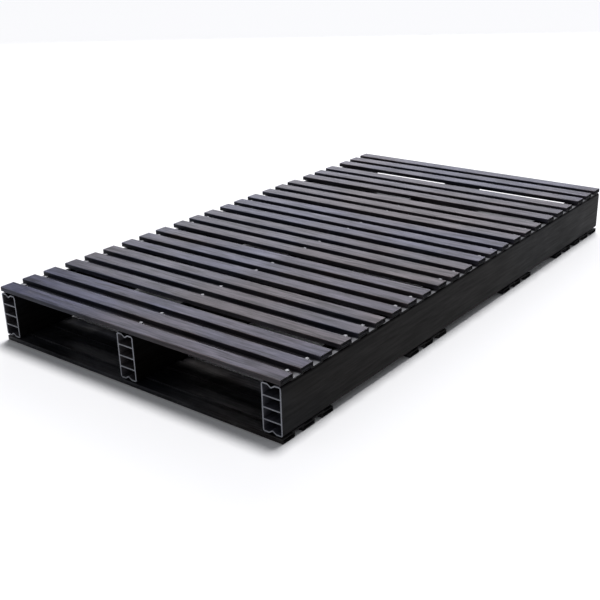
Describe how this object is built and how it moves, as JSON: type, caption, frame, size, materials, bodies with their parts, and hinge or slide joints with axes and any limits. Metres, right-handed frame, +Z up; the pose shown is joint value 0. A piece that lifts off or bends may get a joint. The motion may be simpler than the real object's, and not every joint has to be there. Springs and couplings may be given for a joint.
{
  "type": "plastic pallet",
  "caption": "Two-way entry pallet of hollow extruded plastic profiles: ribbed deck and bottom boards screwed across three ladder-section stringers.",
  "frame": {"origin": "on the ground under the middle of the pallet", "axes": "+X along the boards, +Y along the stringers and the way the forks go in, +Z up"},
  "size_m": [0.8, 1.45, 0.129],
  "materials": {
    "board_plastic": "matt black-grey extruded plastic with fine streaks along the extrusion",
    "stringer_plastic": "charcoal extruded plastic, satin, with pale saw-cut ends",
    "zinc_screw": "dull zinc plate"
  },
  "bodies": {
    "root": {"stringer_left": "stringer_plastic", "stringer_middle": "stringer_plastic", "stringer_right": "stringer_plastic", "deck_board_1": "board_plastic", "deck_board_2": "board_plastic", "deck_board_3": "board_plastic", "deck_board_4": "board_plastic", "deck_board_5": "board_plastic", "deck_board_6": "board_plastic", "deck_board_7": "board_plastic", "deck_board_8": "board_plastic", "bottom_board_1": "board_plastic", "bottom_board_2": "board_plastic", "bottom_board_3": "board_plastic", "bottom_board_4": "board_plastic", "bottom_board_5": "board_plastic", "deck_screw_1_left": "zinc_screw", "deck_screw_1_middle": "zinc_screw", "deck_screw_1_right": "zinc_screw", "deck_screw_2_left": "zinc_screw", "deck_screw_2_middle": "zinc_screw", "deck_screw_2_right": "zinc_screw", "deck_screw_3_left": "zinc_screw", "deck_screw_3_middle": "zinc_screw", "deck_screw_3_right": "zinc_screw", "deck_screw_4_left": "zinc_screw", "deck_screw_4_middle": "zinc_screw", "deck_screw_4_right": "zinc_screw", "deck_screw_5_left": "zinc_screw", "deck_screw_5_middle": "zinc_screw", "deck_screw_5_right": "zinc_screw", "deck_screw_6_left": "zinc_screw", "deck_screw_6_middle": "zinc_screw", "deck_screw_6_right": "zinc_screw", "deck_screw_7_left": "zinc_screw", "deck_screw_7_middle": "zinc_screw", "deck_screw_7_right": "zinc_screw", "deck_screw_8_left": "zinc_screw", "deck_screw_8_middle": "zinc_screw", "deck_screw_8_right": "zinc_screw", "bottom_screw_1_left": "zinc_screw", "bottom_screw_1_middle": "zinc_screw", "bottom_screw_1_right": "zinc_screw", "bottom_screw_2_left": "zinc_screw", "bottom_screw_2_middle": "zinc_screw", "bottom_screw_2_right": "zinc_screw", "bottom_screw_3_left": "zinc_screw", "bottom_screw_3_middle": "zinc_screw", "bottom_screw_3_right": "zinc_screw", "bottom_screw_4_left": "zinc_screw", "bottom_screw_4_middle": "zinc_screw", "bottom_screw_4_right": "zinc_screw", "bottom_screw_5_left": "zinc_screw", "bottom_screw_5_middle": "zinc_screw", "bottom_screw_5_right": "zinc_screw"}
  },
  "joints": []
}
